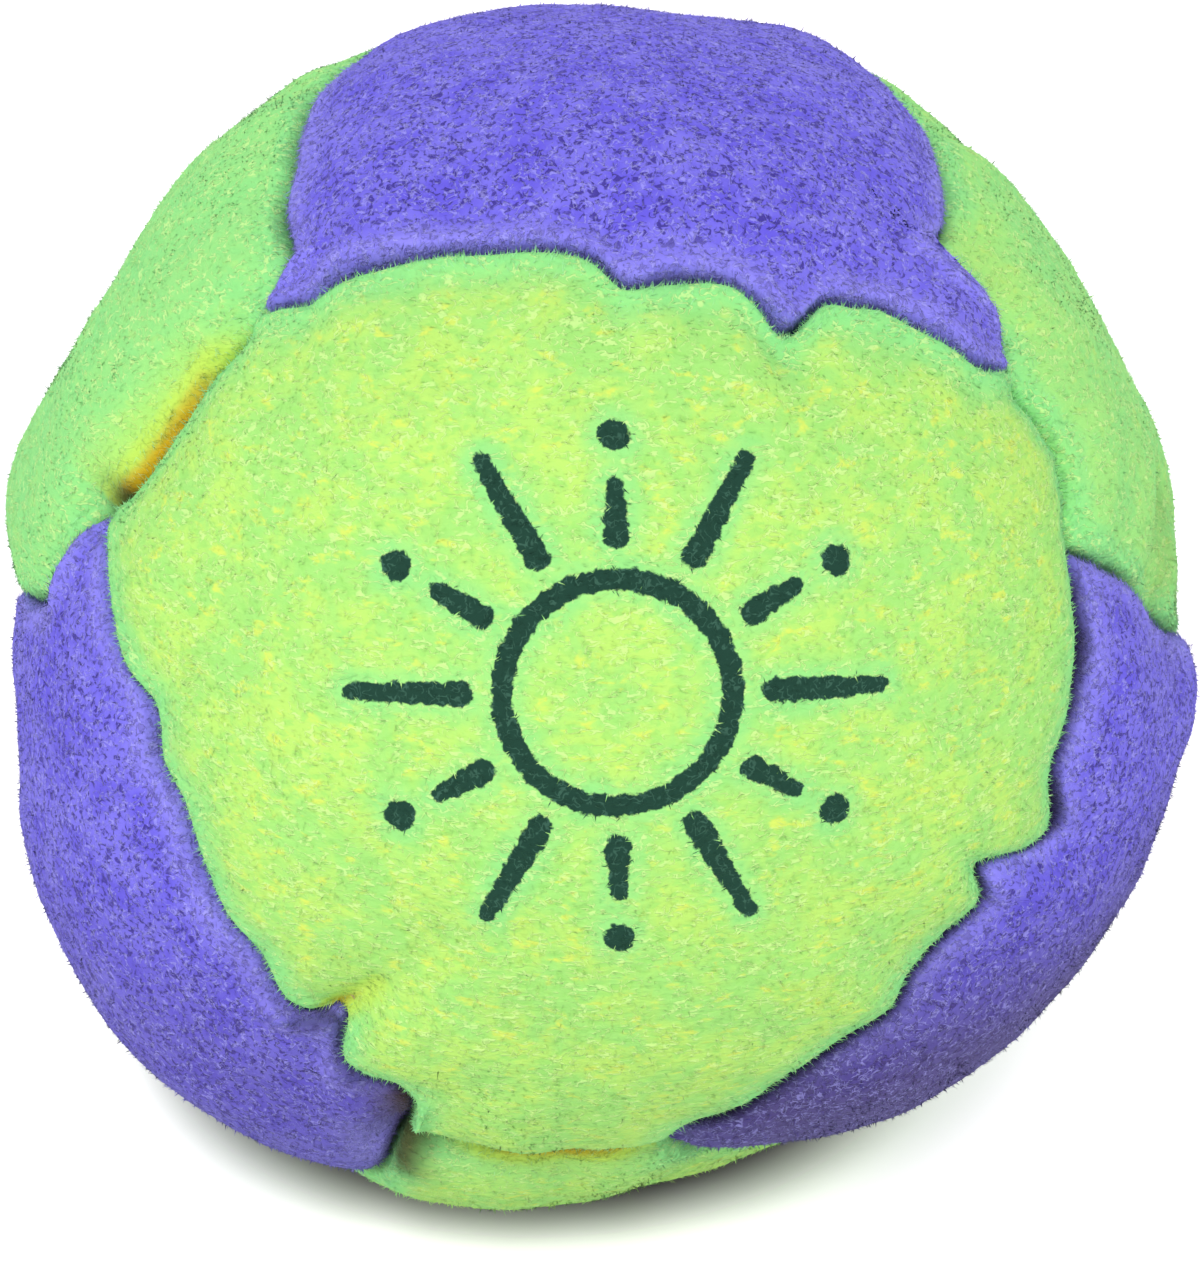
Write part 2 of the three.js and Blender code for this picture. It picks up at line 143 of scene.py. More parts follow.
# Each seam's ends and its bow: share of the way along, and share of the ball's radius that it leans there
# towards whichever of its two panels comes first above
BELLY = ((0.5, -0.075),)
SEAMS = {
    "top_front": ("tl tr", (
        (0.04, -0.004), (0.08, -0.012), (0.13, 0.009), (0.2, 0.025), (0.3, 0.027), (0.38, 0.019),
        (0.43, 0.006), (0.47, -0.041), (0.53, -0.019), (0.59, -0.014), (0.63, -0.047), (0.67, -0.074),
        (0.71, -0.015), (0.75, -0.008), (0.79, 0.003), (0.86, -0.017), (0.93, -0.032),
    )),
    "left_front": ("lt lr", (
        (0.05, -0.03), (0.14, -0.052), (0.22, -0.07), (0.28, -0.116), (0.35, -0.09), (0.41, -0.115),
        (0.49, -0.101), (0.565, -0.088), (0.635, -0.111), (0.7, -0.084), (0.738, -0.103), (0.768, -0.146),
        (0.816, -0.095), (0.85, -0.105), (0.885, -0.135), (0.93, -0.12), (0.968, -0.055),
    )),
    "right_front": ("rt rl", (
        (0.05, 0.013), (0.09, 0.024), (0.18, 0.066), (0.27, 0.071), (0.335, 0.149), (0.37, 0.105),
        (0.41, 0.0), (0.45, 0.06), (0.5, 0.04), (0.57, 0.028), (0.62, 0.042), (0.68, 0.009), (0.74, -0.008),
        (0.85, -0.006), (0.93, -0.035),
    )),
    "top_left_rear": ("tl tb", (
        (0.05, 0.03), (0.08, 0.024), (0.15, -0.025), (0.22, -0.048), (0.32, -0.106), (0.5, -0.16),
    )),
    "top_right_rear": ("tr tb", (
        (0.06, 0.006), (0.1, 0.095), (0.14, 0.136), (0.2, 0.06), (0.27, 0.014), (0.34, -0.02),
        (0.41, -0.05), (0.52, -0.075), (0.7, -0.05),
    )),
    "left_left_rear": ("lt lb", ((0.03, 0.02), (0.1, 0.072), (0.2, 0.062), (0.35, -0.05), (0.55, -0.08))),
    "left_base": ("lr lb", ((0.1, -0.1), (0.16, -0.145), (0.3, -0.13), (0.6, -0.05))),
    "right_right_rear": ("rt rb", (
        (0.06, -0.015), (0.12, -0.026), (0.2, -0.022), (0.3, -0.06), (0.38, -0.112), (0.5, -0.13),
        (0.75, -0.06),
    )),
    "right_base": ("rl rb", ((0.2, -0.1),)),
    "rear_left_rear": ("bt bl", BELLY),
    "rear_right_rear": ("bt br", BELLY),
    "rear_base": ("bl br", BELLY),
    "front_left_rear": ("tl lt", ((0.13, 0.012), (0.3, 0.012), (0.5, 0.02), (0.66, 0.027), (0.86, 0.035))),
    "front_right_rear": ("tr rt", ((0.5, -0.045),)),
    "front_base": ("lr rl", ((0.54, -0.02),)),
    "rear_halves": ("tb bt", ()),
    "base_left_rear": ("lb bl", ()),
    "base_right_rear": ("rb br", ()),
}

# Green seams that lie in a valley: its depth and reach, the panels whose slopes glow with light thrown back
# and forth in it, over what width, and how much at shares of the way along
VALLEYS = {
    "front_left_rear": {
        "depth": 0.9, "reach": 2.4, "tinted": ("panel_left_rear",), "core": 1.2,
        "tints": ((0.05, 0.1), (0.22, 0.5), (0.36, 0.85), (0.5, 1), (0.9, 1), (1, 0.4)),
    },
    "front_right_rear": {
        "depth": 0.3, "reach": 2.0, "tinted": ("panel_right_rear",), "core": 1.2,
        "tints": ((0, 0), (0.5, 0.1), (1, 0)),
    },
    "front_base": {
        "depth": 0.6, "reach": 2.2, "tinted": ("panel_base", "panel_front"), "core": 0.85,
        "tints": ((0.1, 0.1), (0.25, 0.5), (0.4, 0.95), (0.6, 1), (0.85, 1), (1, 0.5)),
    },
}
GLOW_SPREAD = 2.2
GLOW_EDGE_SHARE = 0.34

# Soft creases within a panel, from one azimuth and elevation to another: depth, width, and glow
CREASE_LOSS_SHARE = 0.8
CREASES = {
    "panel_front": (
        {"ends": ((-25, -11), (-13, -0.5)), "depth": 0.75, "width": 1.5, "tint": 0.14},
        {"ends": ((-25.5, -13), (-19.5, -6.5)), "depth": 0.6, "width": 0.6, "tint": 0.8},
        {"ends": ((24.4, 52), (26, 46)), "depth": 0.55, "width": 1.1, "tint": 0},
        {"ends": ((11.5, 57), (13, 52)), "depth": 0.3, "width": 1.0, "tint": 0},
    ),
    "panel_right_rear": (
        {"ends": ((78, 20), (64.5, 12.5)), "depth": 0.85, "width": 1.4, "tint": 0.14},
        {"ends": ((72, 52), (64, 42)), "depth": 0.2, "width": 2.4, "tint": 0.18},
    ),
}

# Marks from one azimuth and elevation to another, with their width: painted shade, dark brown, in folds
# and pits that the light doesn't reach, and nap rubbed pale
PIT_SHADES = (
    {"panel": "panel_left_rear", "ends": ((-61.5, 26.2), (-60, 27.2)), "width": 0.8, "share": 0.9},
    {"panel": "panel_left", "ends": ((-19.6, -23), (-20.6, -31)), "width": 1.2, "share": 1.0},
    {"panel": "panel_base", "ends": ((-20.5, -29.5), (-23, -35.5)), "width": 1.35, "share": 0.92},
    {"panel": "panel_right_rear", "ends": ((79, 19), (66, 11)), "width": 0.9, "share": 0.25},
)
RUBBED = (
    {"ends": ((-63.5, 24.5), (-65, 21)), "width": 1.4},
    {"ends": ((-25, -31), (-27, -37)), "width": 1.3},
)

# Painted shade beside the seams, dark lines where their edges roll under: the panel on whose side each
# lies, its width, and its share along the seam
SEAM_SHADE_LINES = {
    "right_front": {
        "panel": "panel_right", "width": 0.42, "shares": ((0, 0.2), (0.06, 1), (0.92, 1), (1, 0.4)),
    },
    "left_front": {
        "panel": "panel_left", "width": 0.5,
        "shares": ((0, 0.2), (0.7, 0.1), (0.75, 0.6), (0.84, 0.6), (0.9, 0.3), (1, 0.6)),
    },
    "left_base": {"panel": "panel_left", "width": 0.6, "shares": ((0, 0.9), (0.2, 0.8), (0.5, 0))},
}

# Painted shade, darker towards the floor and on the right: the heights, as shares of the radius from the
# middle, between which it grows, and how much of it shows on the left at least and in the middle
LOW_SHADE_TOP = 0.0
LOW_SHADE_BOTTOM = -0.45
LOW_SHADE_LEFT_SHARE = 0.4
LOW_SHADE_MIDDLE_SHARE = 0.72

# Panels painted a cooler mint, a painted cool light from the side and back, and how much
COOL_LIGHT_SHARES = {"panel_left_rear": 0.7, "panel_right_rear": 0.5}

# The print: a sun with long and short rays. Its place is an azimuth and elevation; a ray runs from one
# distance from the middle to another, and has a half width at each end.
PRINT_PANEL = "panel_front"
PRINT_PLACE = (1.5, 23)
SUN_RADIUS = 4.3
SUN_STROKE = 0.85
RAYS = 12
LONG_RAY = (5.9, 10.2)
SHORT_RAY = (5.9, 7.8)
RAY_WIDTHS = (0.5, 0.34)
DOT_RADIUS = 0.62
DOT_PLACE = 9.7


def direction(azimuth, elevation):
    """The unit vector at an azimuth and elevation in degrees."""
    a, e = np.radians(azimuth), np.radians(elevation)
    return np.array([np.sin(a) * np.cos(e), -np.cos(a) * np.cos(e), np.sin(e)])


def unit(v):
    return v / np.linalg.norm(v, axis=-1, keepdims=True)


def through_points(points, t):
    """A cubic through (share, value) points that starts and ends at nothing."""
    x, y = np.array([(0, 0), *points, (1, 0)], dtype=float).T
    slope = np.zeros(len(x))
    slope[1:-1] = (y[2:] - y[:-2]) / (x[2:] - x[:-2])
    t = np.clip(t, 0, 1)
    k = np.clip(np.searchsorted(x, t) - 1, 0, len(x) - 2)
    w = x[k + 1] - x[k]
    u = (t - x[k]) / w
    v = 1 - u
    ends = (1 + 2 * u) * v * v * y[k] + u * u * (3 - 2 * u) * y[k + 1]
    return ends + u * v * v * w * slope[k] - u * u * v * w * slope[k + 1]


def quarter_round(share):
    rest = 1 - np.clip(share, 0, 1)
    return np.sqrt(1 - rest * rest)


def waves(points, length, seed, count):
    """A smooth random field of about the given wavelength, mostly between -1 and 1."""
    rng = np.random.default_rng(seed)
    heading = unit(rng.normal(size=(count, 3)))
    pitch = 2 * np.pi / (length * rng.uniform(0.7, 1.5, count))
    phase = rng.uniform(0, 2 * np.pi, count)
    return np.sin(points @ (heading * pitch[:, None]).T + phase).sum(axis=-1) / np.sqrt(count)


CORNER = {name: direction(*place) for name, place in CORNERS.items()}


def middle_of(names):
    return unit(sum(CORNER[name] for name in names.split()))


class Seam:
    """An arc between two corners, with its bow and its own chance puckers."""

    def __init__(self, name, ends, bow, seed):
        self.name, self.ends, self.bow = name, set(ends.split()), bow
        self.start, stop = (CORNER[end] for end in ends.split())
        self.side = unit(np.cross(self.start, stop))
        self.along = np.cross(self.side, self.start)
        self.angle = np.arccos(self.start @ stop)
        first = next(names for suede, names in PANELS.values() if self.ends <= set(names.split()))
        self.sign = np.sign(self.side @ middle_of(first))
        self.length = self.angle * SEAM_RADIUS
        self.stitches = max(LEAST_STITCHES, round(self.length / STITCH_PITCH))
        self.seed = seed

    def fade(self, t):
        """Nothing at the ends of the seam, 1 along the rest."""
        return np.clip(np.minimum(t, 1 - t) * self.length / FADE_LENGTH, 0, 1)

    def lean(self, t):
        """How far it leans sideways, as a share of the radius."""
        sway = SCALLOP_SWAY_SHARE * self.fade(t) * np.cos(2 * np.pi * self.stitches * t)
        return self.sign * through_points(self.bow, t) + sway

    def away(self, d):
        """How far directions lie to the side of the seam, and their share of the way along."""
        t = np.arctan2(d @ self.along, d @ self.start) / self.angle
        off = np.arcsin(np.clip(d @ self.side, -1, 1)) - np.arctan(self.lean(np.clip(t, 0, 1)))
        return BALL_RADIUS * off, t

    def puckers(self, t, away):
        """How the stitches and the slack draw the cloth in beside the seam."""
        stitch = 0.5 - 0.5 * np.cos(2 * np.pi * self.stitches * t)
        near = np.exp(-(((away - SCALLOP_REACH) / SCALLOP_REACH) ** 2))
        chance = waves(np.c_[t * self.length, np.zeros((len(t), 2))], SLACK_LENGTH, self.seed, 9)
        far = away / PUCKER_REACH * np.exp(1 - away / PUCKER_REACH)
        return self.fade(t) * (SCALLOP_DEPTH * stitch * near + PUCKER_DEPTH * chance * far)


ALL_SEAMS = [Seam(name, ends, bow, seed) for seed, (name, (ends, bow)) in enumerate(SEAMS.items(), 11)]


class Panel:
    """One piece of the cover, with its edges in order round it."""

    def __init__(self, name, suede, corners):
        self.name, self.suede = name, suede
        self.middle = middle_of(corners)
        names = corners.split()
        self.edges = []
        for here, there in zip(names, names[1:] + names[:1]):
            seam = next(s for s in ALL_SEAMS if s.ends == {here, there})
            forward = bool(np.allclose(seam.start, CORNER[here]))
            flip = float(np.sign(seam.side @ self.middle))
            self.edges.append((seam, forward, flip, CORNER[here]))

    def corner(self, i, inset):
        """The direction of a corner when the edges are drawn in from their seams."""
        last, (seam, _, flip, corner) = self.edges[i - 1], self.edges[i % len(self.edges)]
        before, after = last[0].side * last[2], seam.side * flip
        lift = np.sin(inset / SEAM_RADIUS) / (1 + before @ after)
        both = before + after
        return corner * np.sqrt(1 - lift * lift * (both @ both)) + both * lift

    def outline(self, inset):
        """The panel's outline drawn in from its seams, as directions in fine steps."""
        ring = []
        for i, (seam, forward, _, _) in enumerate(self.edges):
            a, b = self.corner(i, inset), self.corner(i + 1, inset)
            angle = np.arccos(a @ b)
            steps = round(seam.length / STEP)
            t = np.arange(steps) / steps
            d = (np.outer(np.sin((1 - t) * angle), a) + np.outer(np.sin(t * angle), b)) / np.sin(angle)
            ring.append(d + np.outer(seam.lean(t if forward else 1 - t), seam.side))
        return unit(np.vstack(ring))

    def insets(self, d):
        """How far directions lie inside the seams: rounded where two of them meet, and not."""
        total, least = 0, np.inf
        for seam, _, flip, _ in self.edges:
            away = flip * seam.away(d)[0]
            total = total + np.exp(-np.clip(away, -MOST_OUTSIDE, None) / CORNER_EASE)
            least = np.minimum(least, away)
        return np.maximum(0, -CORNER_EASE * np.log(total)), least


def seam_radius(d):
    share = np.ones(len(d))
    for azimuth, elevation, spread, rise in LOBES:
        off = np.arccos(np.clip(d @ direction(azimuth, elevation), -1, 1)) / np.radians(spread)
        share += rise * np.exp(-off * off)
    return SEAM_RADIUS * share


def place(d, radius, layer=0.0):
    """Points of the bag in millimetres, kept above the floor by a layer's distance from the outside."""
    p = d * radius[:, None]
    z = p[:, 2] + REST_HEIGHT - layer
    eased = (z + REST_BLEND) ** 2 / (4 * REST_BLEND)
    p[:, 2] = layer + np.where(z <= -REST_BLEND, 0, np.where(z >= REST_BLEND, z, eased))
    return p


def smooth_face(panel, d, inset):
    """The radius of a panel's face before its puckers, as the plain solid has it."""
    fold = FOLD_RISE * quarter_round((inset - EDGE) / FOLD_REACH)
    return seam_radius(d) + fold + PILLOW_RISE * quarter_round(panel.insets(d)[0] / PILLOW_REACH)


def corner_dip(d):
    """How far the cloth is drawn in where three panels meet."""
    dip = 0
    for name, corner in CORNER.items():
        depth = CORNER_DIPS.get(name, CORNER_DIP)
        off = np.arccos(np.clip(d @ corner, -1, 1)) * BALL_RADIUS
        dip = dip + depth * np.exp(-((off / DIP_REACH) ** 2))
    return dip


def low_shade_of(d):
    """How much painted shade each place has: more towards the floor, and more on the shaded side."""
    low = np.clip((LOW_SHADE_TOP - d[:, 2]) / (LOW_SHADE_TOP - LOW_SHADE_BOTTOM), 0, 1)
    side = np.clip(LOW_SHADE_MIDDLE_SHARE + d[:, 0], LOW_SHADE_LEFT_SHARE, 1)
    return low * low * (3 - 2 * low) * side


def worn_face(panel, d, inset):
    """The radius of a panel's face with its puckers, valleys and grain."""
    r = smooth_face(panel, d, inset) - corner_dip(d)
    fill = 0
    for seam, _, flip, _ in panel.edges:
        away, t = seam.away(d)
        away = np.maximum(0, flip * away)
        near = np.exp(-(((away - EDGE) / SEAM_FILL_REACH) ** 2))
        fill = np.maximum(fill, SEAM_FILLS.get(seam.name, SEAM_FILL) * near)
        t = np.clip(t, 0, 1)
        r -= seam.puckers(t, away)
        if seam.name in VALLEYS:
            valley = VALLEYS[seam.name]
            r -= valley["depth"] * np.sin(np.pi * t) * np.exp(-((away / valley["reach"]) ** 2))
    for crease in CREASES.get(panel.name, ()):
        r -= crease["depth"] * crease_share(crease, d)
    r += fill
    for depth, length, seed, count in UNEVENNESS:
        r += depth * waves(d * BALL_RADIUS, length, seed, count)
    return r


def glow_of(panel, d):
    """How much each place glows with light thrown back and forth in a valley."""
    glow = np.zeros(len(d))
    for seam, _, flip, _ in panel.edges:
        valley = VALLEYS.get(seam.name)
        if valley and panel.name in valley["tinted"]:
            away, t = seam.away(d)
            away = np.maximum(0, flip * away)
            core = np.exp(-((away / valley["core"]) ** 2))
            edge = GLOW_EDGE_SHARE * np.exp(-((away / (GLOW_SPREAD * valley["core"])) ** 2))
            along = np.interp(t, *zip(*valley["tints"]), left=0, right=0)
            glow = np.maximum(glow, along * np.maximum(core, edge))
    for crease in CREASES.get(panel.name, ()):
        glow = np.maximum(glow, crease["tint"] * crease_share(crease, d))
    return glow


def mark_share(mark, d):
    """How near each place lies to a mark's line, from 0 to 1, and its share of the way along."""
    a, b = (direction(*end) * BALL_RADIUS for end in mark["ends"])
    t = np.clip((d * BALL_RADIUS - a) @ (b - a) / ((b - a) @ (b - a)), 0, 1)
    off = np.linalg.norm(d * BALL_RADIUS - a - t[:, None] * (b - a), axis=1)
    return np.exp(-((off / mark["width"]) ** 2)), t


def crease_share(crease, d):
    """How deep in a crease each place lies, from 0 to 1; it runs out towards its far end."""
    near, t = mark_share(crease, d)
    return near * np.sqrt(1 - CREASE_LOSS_SHARE * t)


def seam_shade_of(panel, d):
    """How much painted seam shade each place shows."""
    line = np.zeros(len(d))
    for seam, _, flip, _ in panel.edges:
        mark = SEAM_SHADE_LINES.get(seam.name)
        if mark and mark["panel"] == panel.name:
            away, t = seam.away(d)
            along = np.interp(t, *zip(*mark["shares"]), left=0, right=0)
            line = np.maximum(line, along * np.exp(-((np.maximum(0, flip * away) / mark["width"]) ** 3)))
    return line


# Painted shade, dark brown, in the folds and pits that the light doesn't reach
def pit_shade_of(panel, d):
    pit_shade = np.zeros(len(d))
    for mark in PIT_SHADES:
        if mark["panel"] == panel.name:
            pit_shade = np.maximum(pit_shade, mark["share"] * mark_share(mark, d)[0])
    return pit_shade


def paint_of(panel, d, shade):
    """What a panel's material needs to know of each place."""
    return {
        "seam_mm": panel.insets(d)[1],
        "glow": glow_of(panel, d),
        "ink": ink_of(panel, d),
        # Painted shade towards the floor and on the shaded side
        "low_shade": low_shade_of(d),
        # Painted cool light on the rear panels
        "cool_light": np.full(len(d), COOL_LIGHT_SHARES.get(panel.name, 0)),
        # Painted shade beside the seams where their edges roll under
        "line": seam_shade_of(panel, d),
        # Painted shade in folds and pits
        "pit_shade": pit_shade_of(panel, d),
        "rubbed": np.maximum.reduce([mark_share(mark, d)[0] for mark in RUBBED]),
        "shade": shade,
    }


def ink_of(panel, d):
    """How far inside the print's outline each place lies, in millimetres; less than nothing is bare."""
    if panel.name != PRINT_PANEL:
        return np.full(len(d), -1.0)
    middle = direction(*PRINT_PLACE)
    right = unit(np.cross([0, 0, 1], middle))
    off = np.arccos(np.clip(d @ middle, -1, 1)) * BALL_RADIUS
    turn = np.arctan2(d @ np.cross(middle, right), d @ right)
    ring = SUN_STROKE / 2 - np.abs(off - SUN_RADIUS)
    sector = 2 * np.pi / RAYS
    ray = np.round(turn / sector)
    bend = turn - ray * sector
    along, aside = off * np.cos(bend), np.abs(off * np.sin(bend))
    inner = LONG_RAY[0]
    outer = np.where(ray % 2 == 0, LONG_RAY[1], SHORT_RAY[1])
    t = np.clip((along - inner) / (outer - inner), 0, 1)
    width = RAY_WIDTHS[0] + (RAY_WIDTHS[1] - RAY_WIDTHS[0]) * t
    beam = width - np.hypot(along - inner - t * (outer - inner), aside)
    dot = np.where(ray % 2 == 0, -1, DOT_RADIUS - np.hypot(along - DOT_PLACE, aside))
    return np.maximum.reduce([ring, beam, dot])


def lining(panel, d, inset):
    """The cloth's inner side, the cloth's thickness in, or less where the outside dips."""
    within = np.minimum(smooth_face(panel, d, inset) - FABRIC, worn_face(panel, d, inset) - LEAST_FABRIC)
    return place(d, within, LEAST_FABRIC)


def build_panel(panel):
    """A fine closed shell: its face, its turned-in edges and its lining."""
    edge_insets = [EDGE + share * FOLD_REACH for share in ROLL_SHARES]
    base = panel.outline(edge_insets[-1])
    reach = np.arccos(np.clip(base @ panel.middle, -1, 1)).mean() * BALL_RADIUS
    count = round(reach / STEP)
    rings, outer = [], []
    for inset in edge_insets:
        d = panel.outline(inset)
        outer.append(d)
        rings.append(place(d, worn_face(panel, d, inset)))
    eased = base
    for k in range(1, count):
        for _ in range(min(k, MOST_EASING)):
            eased = (2 * eased + np.roll(eased, 1, axis=0) + np.roll(eased, -1, axis=0)) / 4
        d = unit(eased + (panel.middle - eased) * k / count)
        outer.append(d)
        rings.append(place(d, worn_face(panel, d, edge_insets[-1])))
    top = panel.middle[None]
    crown = place(top, worn_face(panel, top, edge_insets[-1]))
    face_rings = len(rings)
    rings.reverse()
    outer.reverse()
    d = outer[-1]
    foot = seam_radius(d) - ALLOWANCE
    wall = worn_face(panel, d, EDGE) - foot
    for share in WALL_SHARES:
        rings.append(place(d, foot + wall * (1 - share)))
    d = panel.outline(EDGE_INSIDE)
    rings.append(place(d, seam_radius(d) - ALLOWANCE))
    rings.append(lining(panel, d, EDGE_INSIDE))
    for share in LINING_SHARES:
        d = unit(base * (1 - share) + panel.middle * share)
        rings.append(lining(panel, d, edge_insets[-1]))
    hollow = lining(panel, top, edge_insets[-1])
    n = len(base)
    points = np.vstack([crown, *rings, hollow])
    faces = [(0, 1 + i, 1 + (i + 1) % n) for i in range(n)]
    index = np.arange(n)
    after = (index + 1) % n
    for k in range(len(rings) - 1):
        a, b = 1 + k * n, 1 + (k + 1) * n
        faces += np.c_[a + index, b + index, b + after, a + after].tolist()
    last, tip = 1 + (len(rings) - 1) * n, len(points) - 1
    faces += [(last + (i + 1) % n, last + i, tip) for i in range(n)]
    directions = np.vstack([top, *outer])
    return points, faces, directions, face_rings


def add_object(name, points, faces, attributes, material):
    mesh = bpy.data.meshes.new(name)
    mesh.from_pydata((points * MM).tolist(), [], [tuple(face) for face in faces])
    for key, values in attributes.items():
        mesh.attributes.new(key, "FLOAT", "POINT").data.foreach_set("value", values.astype(np.float32))
    mesh.materials.append(material)
    mesh.shade_smooth()
    made = bpy.data.objects.new(name, mesh)
    bpy.context.collection.objects.link(made)
    return made


def padded_to(values, count, fill):
    return np.concatenate([values, np.full(count - len(values), fill)])


# Colours, as the photograph shows them


def srgb(red, green, blue):
    """A linear colour from one written in 0 to 255."""
    c = np.array([red, green, blue]) / 255
    return (*np.where(c <= 0.04045, c / 12.92, ((c + 0.055) / 1.055) ** 2.4), 1.0)


LIME = srgb(167, 230, 122)
YELLOW_LIME = srgb(191, 236, 114)
GOLD_LIME = srgb(226, 238, 100)
DEEP_LIME = srgb(160, 226, 112)
PALE_LIME = srgb(220, 253, 160)
MINT = srgb(141, 229, 143)
PALE_MINT = srgb(176, 248, 190)
GLOW_YELLOW = srgb(196, 232, 98)
AMBER = srgb(212, 164, 16)
PIT_SHADE_BROWN = srgb(66, 48, 28)
INK = srgb(32, 66, 54)
PALE_INK = srgb(66, 106, 90)
VIOLET = srgb(105, 93, 226)
PALE_VIOLET = srgb(164, 158, 255)
PALEST_VIOLET = srgb(180, 176, 255)
NAVY = srgb(64, 52, 146)
SEAM_SHADE_NAVY = srgb(30, 24, 50)
SHADED_GREEN = srgb(182, 214, 108)
SHADED_PURPLE = srgb(70, 57, 100)
THREAD_COLOUR = srgb(36, 46, 42)
SAND_COLOUR = srgb(200, 176, 136)
GREEN_SHEEN = srgb(150, 255, 180)
PURPLE_SHEEN = srgb(190, 185, 255)
PALE_THREAD = srgb(60, 74, 68)
DARK_SAND = srgb(150, 120, 84)
SUEDE_ROUGHNESS = 0.95
SUEDE_SPECULAR = 0.15
SHEEN_ROUGHNESS = 0.45
BUMP_STRENGTH = 0.8
BUMP_DEPTH = 0.12
THREAD_ROUGHNESS = 0.7
SAND_ROUGHNESS = 1.0
CLOTH_SHADE = 0.35
ALONG = (0.75, 0.75, 1.5)
STROKE_CORE_SHARE = 0.3
BREAK_SCALE = 0.8
BREAK_LEVELS = (0.44, 0.56)

# In millimetres, where a change of colour starts and where it is whole: beside the seams, and round the
# print, whose edge is worn by as much as its wear
# Mint beside the seams on the green is painted: the cooler light in the seams' shade
MINT_EDGE = (3.2, 0.5)
# Paler violet beside the seams on the purple is painted light that offsets the seams' dark gaps
PALE_EDGE = (2.2, 0.4)
MINT_ROUND_INK = (-1.0, -0.1)
INK_EDGE = (-0.05, 0.05)
INK_WEAR = 0.5

# The share of glow up to which a valley turns yellow, and from which it turns amber
YELLOW_GLOW = 0.45


class Nodes:
    """A material's node tree with short ways to add and join nodes."""

    def __init__(self, name):
        self.material = bpy.data.materials.new(name)
        self.material.use_nodes = True
        self.tree = self.material.node_tree
        self.shader = self.tree.nodes["Principled BSDF"]

    def add(self, kind, **settings):
        node = self.tree.nodes.new(kind)
        for key, value in settings.items():
            setattr(node, key, value)
        return node

    def link(self, source, target):
        self.tree.links.new(source, target)

    def socket(self, value, target):
        if isinstance(value, bpy.types.NodeSocket):
            self.link(value, target)
        else:
            target.default_value = value

    def math(self, operation, a, b=0.0, clamp=False):
        node = self.add("ShaderNodeMath", operation=operation, use_clamp=clamp)
        self.socket(a, node.inputs[0])
        self.socket(b, node.inputs[1])
        return node.outputs[0]

    def mix(self, share, a, b, blend="MIX"):
        node = self.add("ShaderNodeMix", data_type="RGBA", blend_type=blend)
        self.socket(share, node.inputs[0])
        self.socket(a, node.inputs[6])
        self.socket(b, node.inputs[7])
        return node.outputs[2]

    def attribute(self, name):
        return self.add("ShaderNodeAttribute", attribute_name=name).outputs["Fac"]

    def noise(self, per_mm, detail=2.0, roughness=0.5, distortion=0.0, stretch=(1, 1, 1)):
        node = self.add("ShaderNodeTexNoise")
        node.inputs["Scale"].default_value = per_mm / MM
        node.inputs["Detail"].default_value = detail
        node.inputs["Roughness"].default_value = roughness
        node.inputs["Distortion"].default_value = distortion
        mapping = self.add("ShaderNodeMapping")
        mapping.inputs["Scale"].default_value = stretch
        self.link(self.add("ShaderNodeTexCoord").outputs["Object"], mapping.inputs["Vector"])
        self.link(mapping.outputs["Vector"], node.inputs["Vector"])
        return node.outputs["Fac"]

    def strokes(self, per_mm, width, stretch=(1, 1, 1)):
        """Short curved strokes: the contours of one noise, broken up by another."""
        ridge = self.math("ABSOLUTE", self.math("SUBTRACT", self.noise(per_mm, 1, 0.5, 0.6, stretch), 0.5))
        line = self.between(ridge, width, width * STROKE_CORE_SHARE)
        breaks = self.between(self.noise(per_mm * BREAK_SCALE, 1, 0.5, 0, stretch), *BREAK_LEVELS)
        return self.math("MULTIPLY", line, breaks)

    def between(self, value, low, high):
        """0 below low, 1 above high, smooth in between."""
        node = self.add("ShaderNodeMapRange", interpolation_type="SMOOTHSTEP")
        self.socket(value, node.inputs["Value"])
        node.inputs["From Min"].default_value = low
        node.inputs["From Max"].default_value = high
        return node.outputs["Result"]


def finish_suede(nodes, colour, height, sheen, tint):
    bump = nodes.add("ShaderNodeBump")
    bump.inputs["Strength"].default_value = BUMP_STRENGTH
    bump.inputs["Distance"].default_value = BUMP_DEPTH * MM
    nodes.link(height, bump.inputs["Height"])
    shader = nodes.shader
    nodes.link(colour, shader.inputs["Base Color"])
    nodes.link(bump.outputs["Normal"], shader.inputs["Normal"])
    shader.inputs["Roughness"].default_value = SUEDE_ROUGHNESS
    shader.inputs["Specular IOR Level"].default_value = SUEDE_SPECULAR
    shader.inputs["Sheen Weight"].default_value = sheen
    shader.inputs["Sheen Roughness"].default_value = SHEEN_ROUGHNESS
    shader.inputs["Sheen Tint"].default_value = tint
    return nodes.material


